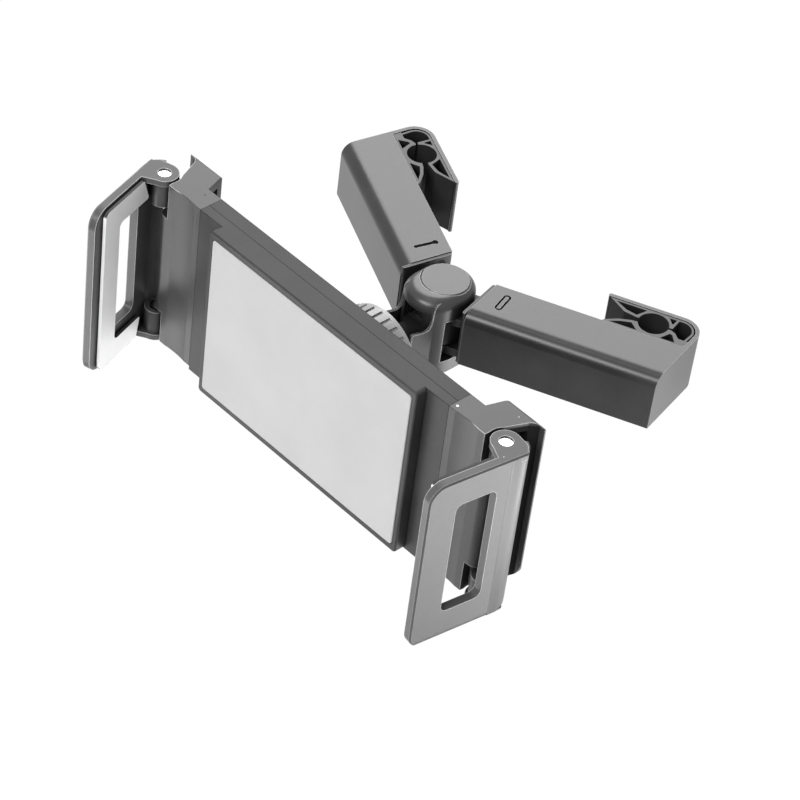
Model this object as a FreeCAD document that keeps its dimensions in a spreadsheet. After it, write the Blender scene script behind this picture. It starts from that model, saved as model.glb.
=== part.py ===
import FreeCAD, Part
import math
import os
import Sketcher
from FreeCAD import Placement, Rotation, Vector

# Headrest tablet mount: two folding arms hook behind the posts of a car headrest.
# A yoke between the arms carries a ball joint, and the ball joint a spring-loaded tablet cradle.
# X runs along the cradle, Y from the tablet back towards the headrest, Z up.
# The origin is the middle of the left post clamp. Millimetres and degrees.

os.makedirs("parts", exist_ok=True)
doc = FreeCAD.newDocument("HeadrestTabletMount")
sheet = doc.addObject("Spreadsheet::Sheet", "Sizes")


class Size:
    """A number together with the expression that gives it from the cells of the sheet."""

    def __init__(self, number, text):
        self.number = float(number)
        self.text = text

    def __add__(self, other):
        other = size_of(other)
        return Size(self.number + other.number, "(%s + %s)" % (self.text, other.text))

    def __sub__(self, other):
        other = size_of(other)
        return Size(self.number - other.number, "(%s - %s)" % (self.text, other.text))

    def __mul__(self, other):
        other = size_of(other)
        return Size(self.number * other.number, "(%s * %s)" % (self.text, other.text))

    def __truediv__(self, other):
        other = size_of(other)
        return Size(self.number / other.number, "(%s / %s)" % (self.text, other.text))

    def __radd__(self, other):
        return size_of(other) + self

    def __rsub__(self, other):
        return size_of(other) - self

    def __rmul__(self, other):
        return size_of(other) * self

    def __neg__(self):
        return Size(-self.number, "(0 - %s)" % self.text)


def size_of(value):
    """A plain number counts as its own expression."""
    return value if isinstance(value, Size) else Size(value, repr(float(value)))


def number(value):
    """The number behind a size or a plain number."""
    return size_of(value).number


def cosine(angle):
    return Size(math.cos(math.radians(angle.number)), "cos(%s)" % angle.text)


def sine(angle):
    return Size(math.sin(math.radians(angle.number)), "sin(%s)" % angle.text)


def tangent(angle):
    return Size(math.tan(math.radians(angle.number)), "tan(%s)" % angle.text)


def root(value):
    return Size(math.sqrt(value.number), "sqrt(%s)" % value.text)


cell_count = 0


def cell(name, value, note):
    """Writes one driving size into the sheet and gives back its named value."""
    global cell_count
    cell_count += 1
    sheet.set("A%d" % cell_count, note)
    sheet.set("B%d" % cell_count, str(value))
    sheet.setAlias("B%d" % cell_count, name)
    return Size(value, "Sizes." + name)


# Clearances
seat_gap = cell("seat_gap", 0.15, "between fitted pieces that do not move")
slide_gap = cell("slide_gap", 0.2, "round the sliding tongues")
run_gap = cell("run_gap", 0.05, "radial clearance of pins and barrels")
stack_gap = cell("stack_gap", 0.05, "between the pieces of the hinge stack")
swing_gap = cell("swing_gap", 0.25, "between a claw's ears and the lugs")

# Cradle body
body_width = cell("body_width", 156.4, "cradle body along X")
body_height = cell("body_height", 92.0, "cradle body along Z")
body_depth = cell("body_depth", 18.3, "pad face to the back of the cradle")
parting_depth = cell("parting_depth", 11.2, "pad face to the parting line of the shells")
face_depth = cell("face_depth", 6.1, "pad face to the face of the body beside the plate")
plate_width = cell("plate_width", 130.4, "raised front plate along X")
plate_drop = cell("plate_drop", 0.4, "pad stands this proud of the plate's rim")
shell_wall = cell("shell_wall", 2.0, "walls of both shells")
pad_width = cell("pad_width", 125.0, "front pad along X")
pad_height = cell("pad_height", 85.0, "front pad along Z")
pad_thick = cell("pad_thick", 1.6, "front pad")
pad_round = cell("pad_round", 1.6, "corners of the front pad")
edge_round = cell("edge_round", 0.8, "outer edges of the cradle")
end_wall = cell("end_wall", 2.0, "end walls of the shells round the tongues")
rail_thick = cell("rail_thick", 1.8, "guide rails beside the tongues")
plate_skin = cell("plate_skin", 2.0, "skin of the plate behind the pad")
ledge = cell("ledge", 2.2, "how far the tongue's edges overlap their ledges")

# Sliders
slider_end = cell("slider_end", 99.2, "middle of the cradle to the slider's outer corner")
tongue_height = cell("tongue_height", 76.0, "sliding tongue along Z")
tongue_start = cell("tongue_start", 34.0, "middle of the cradle to the tongue's inner edge")
end_thick = cell("end_thick", 4.4, "top plate and rear wall of the end housing")
end_bottom = cell("end_bottom", 44.0, "end housing below the middle")
end_back = cell("end_back", 30.0, "pad face to the back of the end housing")
end_reach = cell("end_reach", 111.4, "middle of the cradle to the tip of the end housing")
column_reach = cell("column_reach", 106.0, "middle of the cradle to the column between the lugs")
column_half = cell("column_half", 27.0, "column above and below the middle")
lug_inner = cell("lug_inner", 30.5, "middle to the inner face of each lug")
lug_radius = cell("lug_radius", 5.4, "barrel of each lug")
pin_across = cell("pin_across", 107.3, "middle of the cradle to the claw pins")
pin_depth = cell("pin_depth", 10.2, "pad face to the claw pins")
pin_radius = cell("pin_radius", 3.0, "claw pins")
pin_recess = cell("pin_recess", 0.8, "pin ends below the ears' faces")

# Rack and pinion
tooth_module = cell("tooth_module", 1.0, "module of the rack and the pinion")
tooth_count = 18
tooth_backlash = cell("tooth_backlash", 0.16, "taken off each flank")
rack_back = cell("rack_back", 5.2, "rack bar behind its teeth")
rack_reach = cell("rack_reach", 43.0, "rack bar past the middle of the cradle")
hub_radius = cell("hub_radius", 3.0, "boss that carries the pinion")

# Claws
claw_inner = cell("claw_inner", 6.45, "pin to the inner face of the claw plate")
claw_thick = cell("claw_thick", 4.2, "claw plate")
claw_length = cell("claw_length", 43.8, "pin to the front edge of the claw")
claw_back = cell("claw_back", 4.6, "claw plate behind the pin")
claw_top = cell("claw_top", 46.0, "claw above the middle")
claw_bottom = cell("claw_bottom", 45.6, "claw below the middle")
ear_thick = cell("ear_thick", 3.0, "claw ears")
ear_radius = cell("ear_radius", 6.6, "claw ears round the pin")
left_claw_angle = cell("left_claw_angle", 17.0, "left claw turned in as found")
right_claw_angle = cell("right_claw_angle", 9.0, "right claw turned in as found")
grip_thick = cell("grip_thick", 1.4, "face of the claw pad")
grip_foot = cell("grip_foot", 0.9, "foot of the claw pad")

# Ball joint
ball_depth = cell("ball_depth", 38.0, "pad face to the middle of the ball")
ball_radius = cell("ball_radius", 13.5, "ball")
seat_thick = cell("seat_thick", 1.4, "seat liners round the ball")
socket_radius = cell("socket_radius", 17.6, "outside of the socket")
nut_radius = cell("nut_radius", 22.5, "body of the ring nut")
nut_front = cell("nut_front", 30.0, "pad face to the front of the ring nut")
nut_back = cell("nut_back", 47.0, "pad face to the back of the ring nut")
stem_radius = cell("stem_radius", 4.2, "stem of the ball")
neck_start = cell("neck_start", 52.0, "pad face to the front of the yoke's neck")

# Yoke and hinge
hinge_depth = cell("hinge_depth", 82.3, "pad face to the hinge axis")
yoke_radius = cell("yoke_radius", 14.0, "yoke round the hinge axis")
yoke_nose = cell("yoke_nose", 5.5, "yoke drawn out to the front")
yoke_top = cell("yoke_top", 22.5, "top of the yoke")
yoke_bottom = cell("yoke_bottom", 18.3, "bottom of the yoke below the middle")
slot_top = cell("slot_top", 11.5, "top of the knuckle slot")
slot_bottom = cell("slot_bottom", 11.3, "bottom of the knuckle slot below the middle")
web_depth = cell("web_depth", 10.8, "hinge axis to the back of the front wall")
cap_radius = cell("cap_radius", 11.1, "cap disc")
cap_thick = cell("cap_thick", 1.5, "cap disc")
knuckle_radius = cell("knuckle_radius", 12.4, "knuckles of both arms")
bolt_radius = cell("bolt_radius", 4.0, "hinge bolt")
ear_plate = cell("ear_plate", 3.8, "each ear of the right knuckle")
middle_plate = cell("middle_plate", 12.0, "left knuckle")
washer_thick = cell("washer_thick", 0.5, "friction washers")
wave_thick = cell("wave_thick", 1.6, "wave washer")

# Arms
arm_angle = cell("arm_angle", 25.0, "each arm turned back from the X axis")
arm_bottom = cell("arm_bottom", 8.8, "arm below the middle")
arm_top = cell("arm_top", 20.1, "arm above the middle")
arm_front = cell("arm_front", 15.2, "hinge line to the arm's front face")
arm_back = cell("arm_back", 10.3, "hinge line to the arm's back face")
arm_near = cell("arm_near", 18.4, "hinge axis to the arm's near end on the hinge line")
arm_far = cell("arm_far", 107.2, "hinge axis to the arm's far end on the hinge line")
arm_slant = cell("arm_slant", 11.8, "slant of the arm's ends")
arm_wall = cell("arm_wall", 2.6, "walls of the arm")
arm_round = cell("arm_round", 6.0, "upper front edge of the arm")
flange_thick = cell("flange_thick", 1.6, "flange between the arm and the yoke")
hook_reach = cell("hook_reach", 29.5, "hinge line to the hook's outer face")
hook_wall = cell("hook_wall", 1.9, "wall of the hook")
hook_tip = cell("hook_tip", 67.0, "hinge axis to the hook's tip")
post_along = cell("post_along", 90.8, "hinge axis to the post, along the arm")
post_radius = cell("post_radius", 7.0, "headrest post")
rib_thick = cell("rib_thick", 1.2, "ribs of the rubber grip")
tenon_length = cell("tenon_length", 34.0, "tenon of the knuckle in the arm")


class Piece:
    """One body of the model, built up from sketches on its own origin planes."""

    def __init__(self, name):
        self.body = doc.addObject("PartDesign::Body", name)
        self.body.Label = name
        self.count = 0

    def plane(self, role):
        for feature in self.body.Origin.OriginFeatures:
            if feature.Role == role + "_Plane":
                return feature

    def name(self, kind):
        self.count += 1
        return "%s_%s_%d" % (self.body.Name, kind, self.count)

    def sketch(self, plane, lift, loops):
        """A sketch on an origin plane, lifted along its normal, with every corner bound to the sheet."""
        sketch = self.body.newObject("Sketcher::SketchObject", self.name("sketch"))
        sketch.AttachmentSupport = [(self.plane(plane), "")]
        sketch.MapMode = "FlatFace"
        lift = size_of(lift)
        sketch.AttachmentOffset = Placement(Vector(0, 0, lift.number), Rotation())
        sketch.setExpression("AttachmentOffset.Base.z", lift.text)
        for loop in loops:
            if loop[0] == "circle":
                draw_circle(sketch, *loop[1:])
            else:
                draw_outline(sketch, loop)
        return sketch

    def pad(self, plane, low, high, *loops):
        """Adds material between two heights along the plane's world axis."""
        return self.extrude("PartDesign::Pad", plane, low, high, loops, plane == "XZ")

    def cut(self, plane, low, high, *loops):
        """Takes material away between two heights along the plane's world axis."""
        return self.extrude("PartDesign::Pocket", plane, low, high, loops, plane != "XZ")

    def extrude(self, kind, plane, low, high, loops, reversed_side):
        low, high = size_of(low), size_of(high)
        sketch = self.sketch(plane, -low if plane == "XZ" else low, loops)
        feature = self.body.newObject(kind, self.name("extrusion"))
        feature.Profile = sketch
        feature.Length = high.number - low.number
        feature.setExpression("Length", "%s - %s" % (high.text, low.text))
        feature.Reversed = reversed_side
        return feature

    def ball(self, kind, radius):
        """A ball about the body's own origin, added or taken away."""
        radius = size_of(radius)
        feature = self.body.newObject("PartDesign::" + kind + "Sphere", self.name("ball"))
        feature.Radius = radius.number
        feature.setExpression("Radius", radius.text)
        return feature

    def axis(self, letter):
        return [item for item in self.body.Origin.OriginFeatures if item.Role == letter + "_Axis"][0]

    def ring_of(self, feature, letter, count):
        """Repeats a feature round one of the body's own axes."""
        pattern = self.body.newObject("PartDesign::PolarPattern", self.name("ring"))
        pattern.Originals = [feature]
        pattern.Axis = (self.axis(letter), [""])
        pattern.Angle = 360.0
        pattern.Occurrences = count
        self.body.Tip = pattern
        return pattern

    def row_of(self, feature, pitch, count):
        """Repeats a feature along X."""
        pattern = self.body.newObject("PartDesign::LinearPattern", self.name("row"))
        pattern.Originals = [feature]
        pattern.Direction = (self.axis("X"), [""])
        pattern.Length = number(pitch) * (count - 1)
        pattern.setExpression("Length", "%s * %d" % (pitch.text, count - 1))
        pattern.Occurrences = count
        self.body.Tip = pattern
        return pattern

    def edges(self, test):
        """Names of the edges whose middle, ends and direction pass the test."""
        doc.recompute()
        found = []
        for index, edge in enumerate(self.body.Tip.Shape.Edges):
            low, high = edge.ParameterRange
            middle = edge.valueAt((low + high) / 2)
            way = edge.valueAt(high) - edge.valueAt(low)
            if test(middle, way):
                found.append("Edge%d" % (index + 1))
        return found

    def soften(self, kind, size, test):
        """A fillet or a chamfer on the edges that pass the test."""
        names = self.edges(test)
        if not names:
            raise RuntimeError("no edge to soften on " + self.body.Label)
        base = self.body.Tip
        feature = self.body.newObject("PartDesign::" + kind, self.name(kind.lower()))
        feature.Base = (base, names)
        setting = "Radius" if kind == "Fillet" else "Size"
        setattr(feature, setting, number(size))
        feature.setExpression(setting, size_of(size).text)
        doc.recompute()
        if "Invalid" in feature.State or "Error" in feature.State or not feature.Shape.isValid():
            raise RuntimeError("%s failed on %s" % (kind, self.body.Label))
        return feature

    def move(self, x, y, z, angle, down=False):
        """Sets the body's place and its turn about the vertical axis."""
        way = Vector(0, 0, -1 if down else 1)
        angle = size_of(angle)
        x, y, z = size_of(x), size_of(y), size_of(z)
        self.body.Placement = Placement(Vector(x.number, y.number, z.number), Rotation(way, angle.number))
        self.body.setExpression("Placement.Base.x", x.text)
        self.body.setExpression("Placement.Base.y", y.text)
        self.body.setExpression("Placement.Base.z", z.text)
        self.body.setExpression("Placement.Rotation.Angle", angle.text)


def draw_circle(sketch, x, y, radius):
    """A circle with its centre and radius bound to the sheet."""
    x, y, radius = size_of(x), size_of(y), size_of(radius)
    circle = Part.Circle(Vector(x.number, y.number, 0), Vector(0, 0, 1), radius.number)
    index = sketch.addGeometry(circle, False)
    first = sketch.addConstraint([
        Sketcher.Constraint("DistanceX", -1, 1, index, 3, x.number),
        Sketcher.Constraint("DistanceY", -1, 1, index, 3, y.number),
        Sketcher.Constraint("Radius", index, radius.number)])[0]
    for offset, item in enumerate((x, y, radius)):
        sketch.setExpression("Constraints[%d]" % (first + offset), item.text)


def draw_outline(sketch, corners):
    """A closed outline. A corner is (x, y), or (x, y, radius) where it is rounded by a tangent arc.

    Each corner's place is bound to the sheet: a sharp one by the line's end, a rounded one by a point
    that lies on both lines.
    """
    corners = [tuple(size_of(item) for item in corner) for corner in corners]
    count = len(corners)
    places = [Vector(corner[0].number, corner[1].number, 0) for corner in corners]
    starts, ends, arcs = {}, {}, {}
    for index, corner in enumerate(corners):
        here, before, after = places[index], places[index - 1], places[(index + 1) % count]
        if len(corner) == 2:
            starts[index] = here
            ends[index - 1 if index else count - 1] = here
            continue
        radius = corner[2].number
        back = (before - here).normalize()
        ahead = (after - here).normalize()
        half = back.getAngle(ahead) / 2
        reach = radius / math.tan(half)
        middle = here + (back + ahead).normalize() * (radius / math.sin(half))
        ends[index - 1 if index else count - 1] = here + back * reach
        starts[index] = here + ahead * reach
        angles = [math.atan2(point.y - middle.y, point.x - middle.x)
                  for point in (here + back * reach, here + ahead * reach)]
        turns = (angles[1] - angles[0]) % (2 * math.pi) < math.pi
        round_corner = Part.Circle(middle, Vector(0, 0, 1), radius)
        arcs[index] = (Part.ArcOfCircle(round_corner, *(angles if turns else angles[::-1])), turns)
    base = len(sketch.Geometry)
    sketch.addGeometry([Part.LineSegment(starts[i], ends[i]) for i in range(count)], False)
    constraints, texts = [], {}
    for index, corner in enumerate(corners):
        line, previous = base + index, base + (index - 1) % count
        if len(corner) == 2:
            constraints.append(Sketcher.Constraint("Coincident", previous, 2, line, 1))
            texts[len(constraints)] = corner[0].text
            constraints.append(Sketcher.Constraint("DistanceX", -1, 1, line, 1, corner[0].number))
            texts[len(constraints)] = corner[1].text
            constraints.append(Sketcher.Constraint("DistanceY", -1, 1, line, 1, corner[1].number))
            continue
        arc = sketch.addGeometry(arcs[index][0], False)
        mark = sketch.addGeometry(Part.Point(places[index]), True)
        first, last = (1, 2) if arcs[index][1] else (2, 1)
        constraints.append(Sketcher.Constraint("Tangent", previous, 2, arc, first))
        constraints.append(Sketcher.Constraint("Tangent", arc, last, line, 1))
        constraints.append(Sketcher.Constraint("PointOnObject", mark, 1, previous))
        constraints.append(Sketcher.Constraint("PointOnObject", mark, 1, line))
        texts[len(constraints)] = corner[0].text
        constraints.append(Sketcher.Constraint("DistanceX", -1, 1, mark, 1, corner[0].number))
        texts[len(constraints)] = corner[1].text
        constraints.append(Sketcher.Constraint("DistanceY", -1, 1, mark, 1, corner[1].number))
        texts[len(constraints)] = corner[2].text
        constraints.append(Sketcher.Constraint("Radius", arc, corner[2].number))
    before = len(sketch.Constraints)
    sketch.addConstraint(constraints)
    for offset, text in texts.items():
        sketch.setExpression("Constraints[%d]" % (before + offset), text)


def box_loop(x_low, x_high, y_low, y_high, radius=None):
    """A rectangle, with its four corners rounded where a radius is given."""
    places = [(x_low, y_low), (x_high, y_low), (x_high, y_high), (x_low, y_high)]
    if radius is None:
        return places
    return [place + (radius,) for place in places]


def corner_cut(x, y, radius, margin=1.0):
    """The waste outside a rounded corner whose material lies towards smaller x and smaller y."""
    x, y, radius = size_of(x), size_of(y), size_of(radius)
    return [(x + margin, y - radius - margin), (x, y - radius - margin), (x, y, radius),
            (x - radius - margin, y), (x - radius - margin, y + margin), (x + margin, y + margin)]


def flipped(loop):
    """The same outline with its second coordinate turned over."""
    return [(corner[0], -size_of(corner[1])) + tuple(corner[2:]) for corner in loop]


def mirrored(side, loop):
    """The same outline on the left where the side is -1."""
    if loop[0] == "circle":
        return ("circle", side * size_of(loop[1]), loop[2], loop[3])
    return [(side * size_of(corner[0]),) + tuple(corner[1:]) for corner in loop]


pieces = {}


def piece(name):
    pieces[name] = Piece(name)
    return pieces[name]


# Derived sizes
half_width = body_width / 2
half_height = body_height / 2
plate_half = plate_width / 2
tooth_pitch = tooth_module * math.pi
pitch_radius = tooth_module * tooth_count / 2
tongue_front = face_depth + 3.5
tongue_thick = cell("tongue_thick", 3.0, "sliding tongues and racks")
tongue_back = tongue_front + tongue_thick
tongue_half = tongue_height / 2
post_offset = cell("post_offset", 19.3, "hinge line to the post, across the arm")
post_x = post_along * cosine(arm_angle) - post_offset * sine(arm_angle)
post_y = post_along * sine(arm_angle) + post_offset * cosine(arm_angle)
arm_middle = (arm_top - arm_bottom) / 2
origin_x = post_x
origin_y = -(hinge_depth + post_y)
origin_z = -arm_middle


def place_cradle(part):
    part.move(origin_x, origin_y, origin_z, 0)


def place_ball(part):
    part.move(origin_x, origin_y + ball_depth, origin_z, 0)


def place_hinge(part, side=0):
    part.move(origin_x, origin_y + hinge_depth, origin_z, arm_angle if side else 0, side < 0)


def place_pin(part, side):
    angle = left_claw_angle if side < 0 else right_claw_angle
    part.move(origin_x + side * pin_across, origin_y + pin_depth, origin_z, angle, side > 0)


def span(side, low, high):
    """A stretch along X, mirrored on the left."""
    return (low, high) if side > 0 else (-high, -low)


# Front shell: raised plate with the pad's recess, hollow behind, ledges for the tongues
front = piece("front_shell")
shell_cavity = half_height - shell_wall
screw_x = cell("screw_x", 22.0, "middle to the shell screws along X")
screw_z = cell("screw_z", 38.0, "middle to the shell screws along Z")
boss_radius = cell("boss_radius", 3.4, "screw bosses")
screw_radius = cell("screw_radius", 1.5, "shafts of the small screws")
head_radius = cell("head_radius", 2.8, "heads of the small screws")
head_thick = cell("head_thick", 1.8, "heads of the small screws")
front.pad("XZ", face_depth, parting_depth, box_loop(-half_width, half_width, -half_height, half_height))
front.pad("XZ", plate_drop, face_depth, box_loop(-plate_half, plate_half, -half_height, half_height, 2.0))
plate_cavity = plate_half - shell_wall
pocket_floor = pad_thick + plate_skin
front.cut("XZ", pocket_floor, parting_depth,
          box_loop(-plate_cavity, plate_cavity, -shell_cavity, shell_cavity, 1.0))
side_cavity = half_width - end_wall
front.cut("XZ", face_depth + shell_wall, parting_depth,
          box_loop(-side_cavity, side_cavity, -shell_cavity, shell_cavity, 1.0))
recess_x, recess_z = pad_width / 2 + seat_gap, pad_height / 2 + seat_gap
front.cut("XZ", plate_drop, pad_thick, box_loop(-recess_x, recess_x, -recess_z, recess_z, pad_round))
ledge_inner = tongue_half - ledge
for side in (-1, 1):
    low, high = span(side, side_cavity - 0.1, half_width)
    front.cut("XZ", tongue_front - slide_gap, parting_depth,
              box_loop(low, high, -tongue_half - slide_gap, tongue_half + slide_gap))
    low, high = span(side, tongue_start + 4.0, plate_cavity)
    side_low, side_high = span(side, plate_cavity, side_cavity)
    for up in (-1, 1):
        bottom, top = (ledge_inner, tongue_half) if up > 0 else (-tongue_half, -ledge_inner)
        front.pad("XZ", pocket_floor, tongue_front - slide_gap, box_loop(low, high, bottom, top))
        front.pad("XZ", face_depth + 1.0, tongue_front - slide_gap,
                  box_loop(side_low, side_high, bottom, top))
        front.pad("XZ", pocket_floor, parting_depth, ("circle", side * screw_x, up * screw_z, boss_radius))
        front.cut("XZ", pocket_floor, parting_depth, ("circle", side * screw_x, up * screw_z, screw_radius))
front.soften("Fillet", edge_round, lambda middle, way: abs(middle.y - plate_drop.number) < 0.01
             and abs(middle.z) > half_height.number - 0.01 and abs(way.x) > 50)
place_cradle(front)

pad = piece("front_pad")
pad.pad("XZ", 0, pad_thick,
        box_loop(-pad_width / 2, pad_width / 2, -pad_height / 2, pad_height / 2, pad_round))
pad.soften("Chamfer", 0.3, lambda middle, way: abs(middle.y) < 0.01)
place_cradle(pad)

# Back shell: tray with the socket of the ball joint, the pinion's boss and the rails
back = piece("back_shell")
back.pad("XZ", parting_depth, body_depth, box_loop(-half_width, half_width, -half_height, half_height))
back_floor = body_depth - shell_wall
back.cut("XZ", parting_depth, back_floor,
         box_loop(-side_cavity, side_cavity, -shell_cavity, shell_cavity, 1.0))
socket_lip = cell("socket_lip", 1.2, "ball's middle to the end of the socket")
socket_end = ball_depth + socket_lip
back.pad("XZ", body_depth, socket_end, ("circle", 0, 0, socket_radius))
socket_foot = cell("socket_foot", 21.0, "collar at the foot of the socket")
back.pad("XZ", body_depth, body_depth + 3.0, ("circle", 0, 0, socket_foot))
for side in (-1, 1):
    low, high = span(side, side_cavity - 0.1, half_width)
    back.cut("XZ", parting_depth, tongue_back + slide_gap,
             box_loop(low, high, -tongue_half - slide_gap, tongue_half + slide_gap))
    low, high = span(side, tongue_start + 4.0, side_cavity)
    for up in (-1, 1):
        bottom, top = (ledge_inner, tongue_half) if up > 0 else (-tongue_half, -ledge_inner)
        back.pad("XZ", tongue_back + slide_gap, back_floor, box_loop(low, high, bottom, top))
        back.pad("XZ", parting_depth, body_depth, ("circle", side * screw_x, up * screw_z, boss_radius + 0.6))
        back.cut("XZ", parting_depth, body_depth,
                 ("circle", side * screw_x, up * screw_z, screw_radius + seat_gap))
        back.cut("XZ", body_depth - head_thick - seat_gap, body_depth,
                 ("circle", side * screw_x, up * screw_z, head_radius + seat_gap))
rack_root = pitch_radius + tooth_module * 1.25
rack_top = rack_root + rack_back
for up in (-1, 1):
    bottom, top = (rack_top + slide_gap, rack_top + slide_gap + rail_thick)
    if up < 0:
        bottom, top = -top, -bottom
    back.pad("XZ", tongue_front, back_floor, box_loop(-tongue_start + 2.0, tongue_start - 2.0, bottom, top))
spigot_radius = cell("spigot_radius", 2.4, "spigot in the pinion")
pinion_front = tongue_front + 0.1
back.pad("XZ", tongue_back, back_floor, ("circle", 0, 0, hub_radius + 1.0))
back.pad("XZ", pinion_front, tongue_back, ("circle", 0, 0, spigot_radius))
back.cut("XZ", pinion_front, back_floor, ("circle", 0, 0, screw_radius))
place_cradle(back)

# The socket's seat is turned out of the boss about the ball's middle, on the joint's own axis
seat_radius = ball_radius + run_gap + seat_thick + seat_gap
seat = back.body.newObject("PartDesign::SubtractiveSphere", "socket_seat")
seat.Radius = seat_radius.number
seat.setExpression("Radius", seat_radius.text)
seat.AttachmentSupport = [(back.plane("XZ"), "")]
seat.MapMode = "FlatFace"
seat_offset = -ball_depth
seat.AttachmentOffset = Placement(Vector(0, 0, seat_offset.number), Rotation())
seat.setExpression("AttachmentOffset.Base.z", seat_offset.text)

# Screws with a cross recess
def screw(part, x, z, head_end, shaft_end):
    """A screw that lies along Y, its head towards the back."""
    part.pad("XZ", head_end - head_thick, head_end, ("circle", x, z, head_radius))
    part.pad("XZ", shaft_end, head_end - head_thick, ("circle", x, z, screw_radius - 0.02))
    part.cut("XZ", head_end - 0.9, head_end, box_loop(x - 1.6, x + 1.6, z - 0.35, z + 0.35))
    part.cut("XZ", head_end - 0.9, head_end, box_loop(x - 0.35, x + 0.35, z - 1.6, z + 1.6))


def group(name, members):
    """Identical pieces that share one node, as separate solids."""
    holder = doc.addObject("Part::Compound", name)
    holder.Links = [member.body for member in members]
    holder.Label = name
    pieces[name] = holder
    return holder


screws = []
for index, (side, up) in enumerate(((-1, -1), (1, -1), (-1, 1), (1, 1))):
    member = Piece("shell_screw_%d" % (index + 1))
    screw(member, side * screw_x, up * screw_z, body_depth - 0.1, pocket_floor + 2.0)
    place_cradle(member)
    screws.append(member)
group("shell_screws", screws)

# Pinion with involute flanks
pinion = piece("pinion")


def involute(angle):
    return math.tan(angle) - angle


def tooth_outline(backlash):
    """One tooth of the pinion, its flanks as short chords of the involute."""
    module = number(tooth_module)
    pitch = number(pitch_radius)
    base = pitch * math.cos(math.radians(20))
    middle = (math.pi / 2 * module / 2 - backlash) / pitch + involute(math.radians(20))
    radii = [base, (base + pitch) / 2, pitch, pitch + module / 2, pitch + module]
    flank = [(radius, middle - involute(math.acos(base / radius))) for radius in radii]
    flank = [(pitch - module * 1.4, flank[0][1])] + flank
    points = [(radius * math.sin(angle), radius * math.cos(angle)) for radius, angle in flank]
    return points + [(-x, y) for x, y in reversed(points)]


pinion.pad("XZ", pinion_front, tongue_back - 0.1, ("circle", 0, 0, pitch_radius - tooth_module * 1.25))
tooth = pinion.pad("XZ", pinion_front, tongue_back - 0.1, tooth_outline(number(tooth_backlash)))
pinion.ring_of(tooth, "Y", tooth_count)
pinion.cut("XZ", pinion_front, tongue_back - 0.1, ("circle", 0, 0, spigot_radius + run_gap))
place_cradle(pinion)

# Flat spiral spring behind the pinion, wound round its boss
spring_strip = cell("spring_strip", 0.4, "strip of the return spring")
spring_inner = hub_radius + 1.0 + 0.3
spring_outer = cell("spring_outer", 8.8, "outer radius of the return spring")
spring_turns = 2
spring = piece("return_spring")


def spiral_side(offset):
    """Points of one side of the spring's strip, twelve to a turn."""
    steps = spring_turns * 12
    growth = (spring_outer - spring_inner - spring_strip) / steps
    points = []
    for step in range(steps + 1):
        turn = math.radians(30 * step)
        radius = spring_inner + growth * step + offset
        points.append((radius * round(math.cos(turn), 9), radius * round(math.sin(turn), 9)))
    return points


spring.pad("XZ", tongue_back + 0.3, back_floor - 0.3, spiral_side(0.0) + spiral_side(spring_strip)[::-1])
place_cradle(spring)

pinion_screw = piece("pinion_screw")
pinion_screw.pad("XZ", pinion_front - head_thick - 0.1, pinion_front - 0.1,
                 ("circle", 0, 0, head_radius + 1.2))
pinion_screw.pad("XZ", pinion_front - 0.1, body_depth - 3.0, ("circle", 0, 0, screw_radius - 0.02))
pinion_screw.cut("XZ", pinion_front - head_thick - 0.1, pinion_front - head_thick + 0.9,
                 box_loop(-1.8, 1.8, -0.4, 0.4))
place_cradle(pinion_screw)

# Sliders: core, end housing, column, lugs, tongue and rack
corner_round = cell("corner_round", 11.0, "lower outer corner of the end housing")
rear_round = cell("rear_round", 3.4, "upper rear edge of the end housing")
hollow_depth = cell("hollow_depth", 1.0, "hollow of the slider's front face")
hollow_radius = cell("hollow_radius", 45.0, "hollow of the slider's front face")
hump_start = cell("hump_start", 8.4, "cradle body to the foot of the end housing's ramp")
hump_run = cell("hump_run", 4.2, "ramp of the end housing along X")
scoop_gap = cell("scoop_gap", 1.6, "scoop round the claw's ear, outside the claw plate")
rack_teeth = 20


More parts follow.
